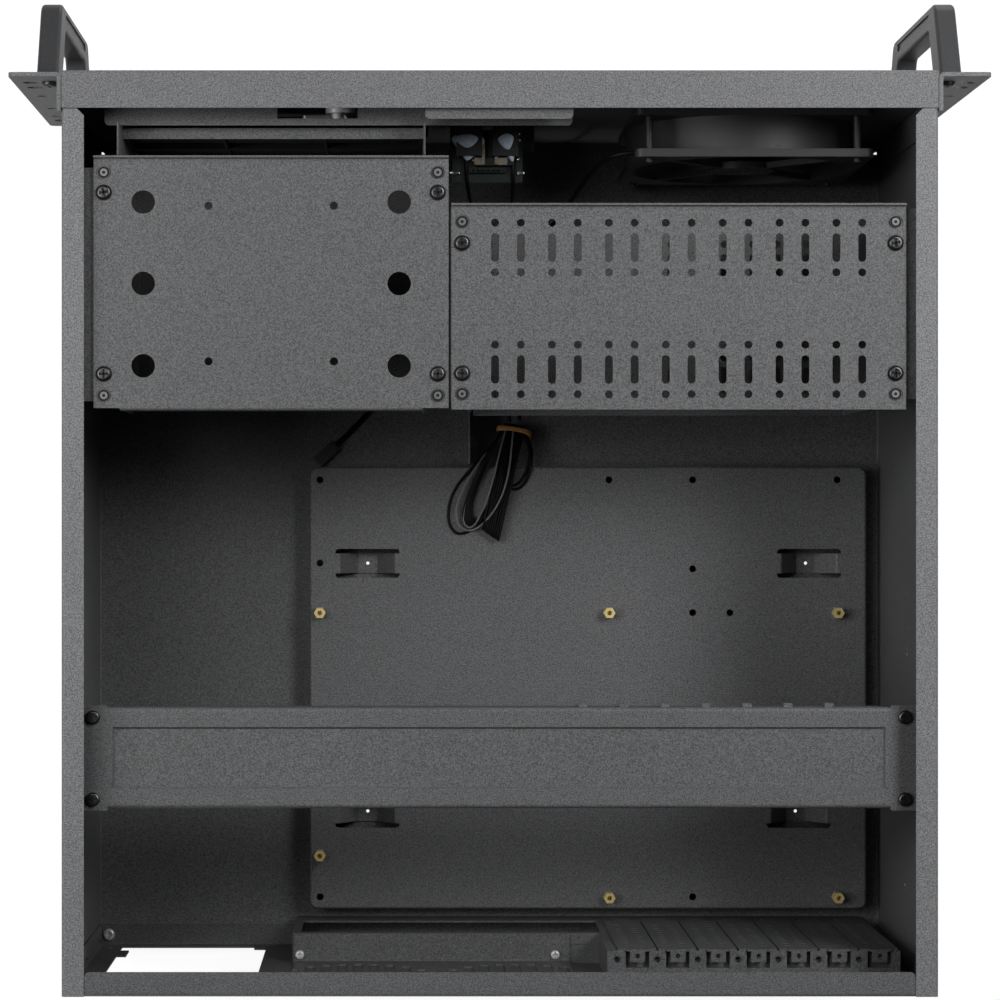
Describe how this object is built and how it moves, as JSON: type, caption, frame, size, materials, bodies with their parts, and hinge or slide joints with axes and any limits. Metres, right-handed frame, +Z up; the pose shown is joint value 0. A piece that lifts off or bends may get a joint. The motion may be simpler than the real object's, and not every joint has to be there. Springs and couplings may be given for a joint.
{
  "type": "rackmount server case",
  "caption": "Open-topped rackmount server case with drive cages, disk cage, cross brace, board tray, intake fan, front door with lock, and rack ears with handles.",
  "frame": {"origin": "middle of the underside of the floor, half way between the front face and the rear edge", "axes": "+X to the right seen from the front, +Y to the back, +Z up"},
  "size_m": [0.4826, 0.4924, 0.177],
  "materials": {
    "case_steel": "fine sand-textured powder coat",
    "rear_steel": "fine sand-textured powder coat",
    "cage_steel": "fine sand-textured powder coat",
    "fascia_steel": "fine sand-textured powder coat",
    "handle_plastic": "smooth moulded",
    "screw_steel": "zinc plated",
    "dark_screw": "blackened",
    "lock_chrome": "polished",
    "brass": "turned",
    "fan_plastic": "moulded",
    "blank_plastic": "fine textured",
    "board_green": "solder mask",
    "port_metal": "plated",
    "button_plastic": "moulded",
    "led_lens": "clear lens",
    "lead_rubber": "soft sheath",
    "plug_plastic": "moulded",
    "band_rubber": "translucent elastic"
  },
  "bodies": {
    "case": {"chassis_tub": "case_steel", "front_wall": "case_steel", "rear_wall": "rear_steel", "rear_fan_plate": "rear_steel", "rear_plate_screws": "screw_steel", "front_panel": "fascia_steel", "rack_ear_right": "fascia_steel", "rack_ear_left": "fascia_steel", "handle_right": "handle_plastic", "handle_left": "handle_plastic", "handle_screws": "dark_screw", "door_hinge_pins": "screw_steel", "fan_frame": "fan_plastic", "fan_screws": "dark_screw", "drive_bay_cage": "cage_steel", "drive_bay_lid": "cage_steel", "small_bay_tray": "cage_steel", "small_bay_cover": "blank_plastic", "disk_cage_tray": "cage_steel", "disk_cage_lid": "cage_steel", "wall_bracket_right": "cage_steel", "wall_bracket_left": "cage_steel", "centre_support": "cage_steel", "cage_ring_screws": "dark_screw", "cage_pan_screws": "dark_screw", "cross_brace": "cage_steel", "brace_brackets": "cage_steel", "brace_screws": "dark_screw", "motherboard_tray": "case_steel", "standoffs": "brass", "usb_board": "board_green", "usb_ports": "port_metal", "switch_housings": "blank_plastic", "indicator_leds": "led_lens", "fan_lead": "lead_rubber", "fan_plug": "plug_plastic", "panel_lead_a": "lead_rubber", "panel_lead_b": "lead_rubber", "lead_loop_a": "lead_rubber", "lead_loop_b": "lead_rubber", "lead_loop_c": "lead_rubber", "lead_hank": "lead_rubber", "rubber_band": "band_rubber", "bay_cover_1": "blank_plastic", "bay_cover_2": "blank_plastic", "slot_cover_1": "rear_steel", "slot_cover_2": "rear_steel", "slot_cover_3": "rear_steel", "slot_cover_4": "rear_steel", "slot_cover_5": "rear_steel", "slot_cover_6": "rear_steel", "slot_cover_7": "rear_steel"},
    "front_door": {"front_door": "fascia_steel", "lock_housing": "lock_chrome", "lock_nut": "screw_steel"},
    "lock": {"lock_plug": "lock_chrome"},
    "fan_rotor": {"fan_rotor": "fan_plastic"},
    "power_button": {"power_button": "button_plastic"},
    "reset_button": {"reset_button": "button_plastic"}
  },
  "joints": [
    {"name": "door_hinge", "type": "hinge", "parent": "case", "child": "front_door", "pos_m": [0, -0.2232, 0.028], "axis": [1, 0, 0], "range_deg": [0, 90]},
    {"name": "lock_turn", "type": "hinge", "parent": "front_door", "child": "lock", "pos_m": [0.0786, -0.2272, 0.143], "axis": [0, -1, 0], "range_deg": [0, 90]},
    {"name": "fan_spin", "type": "hinge", "parent": "case", "child": "fan_rotor", "pos_m": [-0.1294, -0.2032, 0.081], "axis": [0, 1, 0], "continuous": true},
    {"name": "power_press", "type": "slide", "parent": "case", "child": "power_button", "axis": [0, 1, 0], "range_m": [0, 0.0015], "stiffness_N_per_m": 400},
    {"name": "reset_press", "type": "slide", "parent": "case", "child": "reset_button", "axis": [0, 1, 0], "range_m": [0, 0.0015], "stiffness_N_per_m": 300}
  ]
}
